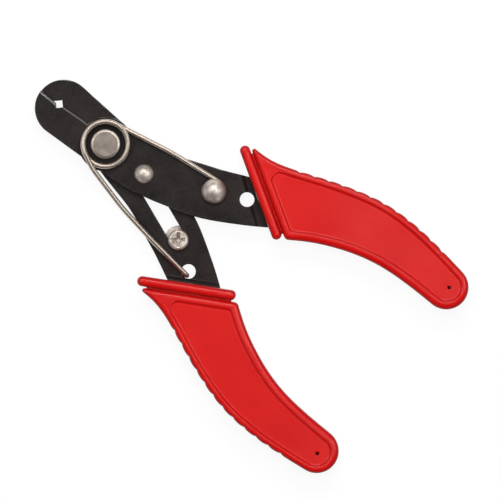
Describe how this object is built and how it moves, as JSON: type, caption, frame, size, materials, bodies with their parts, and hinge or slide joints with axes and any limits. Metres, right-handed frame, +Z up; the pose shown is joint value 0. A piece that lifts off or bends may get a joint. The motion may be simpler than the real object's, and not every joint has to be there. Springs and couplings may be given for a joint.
{
  "type": "wire stripper",
  "caption": "Adjustable wire stripper: crossed black steel levers with notched jaws, torsion spring, slotted screw stop and red moulded grips, shown open.",
  "frame": {"origin": "centre of the bounding box in plan, on the bench that the tool lies on", "axes": "+X from the jaws to the handles, +Y towards the upper handle, +Z up from the bench"},
  "size_m": [0.1298, 0.0744, 0.0113],
  "materials": {
    "black_steel": "satin black oxide",
    "rivet_steel": "nickel plated",
    "spring_wire": "drawn wire",
    "screw_steel": "nickel plated",
    "red_plastic": "glossy"
  },
  "bodies": {
    "back_lever_body": {"back_lever": "black_steel", "pivot_rivet": "rivet_steel", "lower_grip": "red_plastic", "torsion_spring": "spring_wire"},
    "front_lever_body": {"front_lever": "black_steel", "upper_grip": "red_plastic", "stop_pin": "rivet_steel", "spring_rivet": "rivet_steel"},
    "stop_carriage": {"stop_washer": "screw_steel", "stop_nut": "screw_steel"},
    "stop_screw_body": {"stop_screw": "screw_steel"}
  },
  "joints": [
    {"name": "handle_pivot", "type": "hinge", "parent": "back_lever_body", "child": "front_lever_body", "pos_m": [-0.04133, 0, 0.0055], "axis": [0, 0, -1], "range_deg": [0, 8.5], "stiffness_Nm_per_rad": 0.5, "springref_deg": -28.65, "deforming": ["torsion_spring"]},
    {"name": "stop_slide", "type": "slide", "parent": "back_lever_body", "child": "stop_carriage", "axis": [0.9379, -0.3469, 0], "range_m": [-0.0004, 0.00105]},
    {"name": "stop_screw_turn", "type": "hinge", "parent": "stop_carriage", "child": "stop_screw_body", "pos_m": [-0.00863, -0.0079, 0.0055], "axis": [0, 0, -1], "continuous": true}
  ]
}
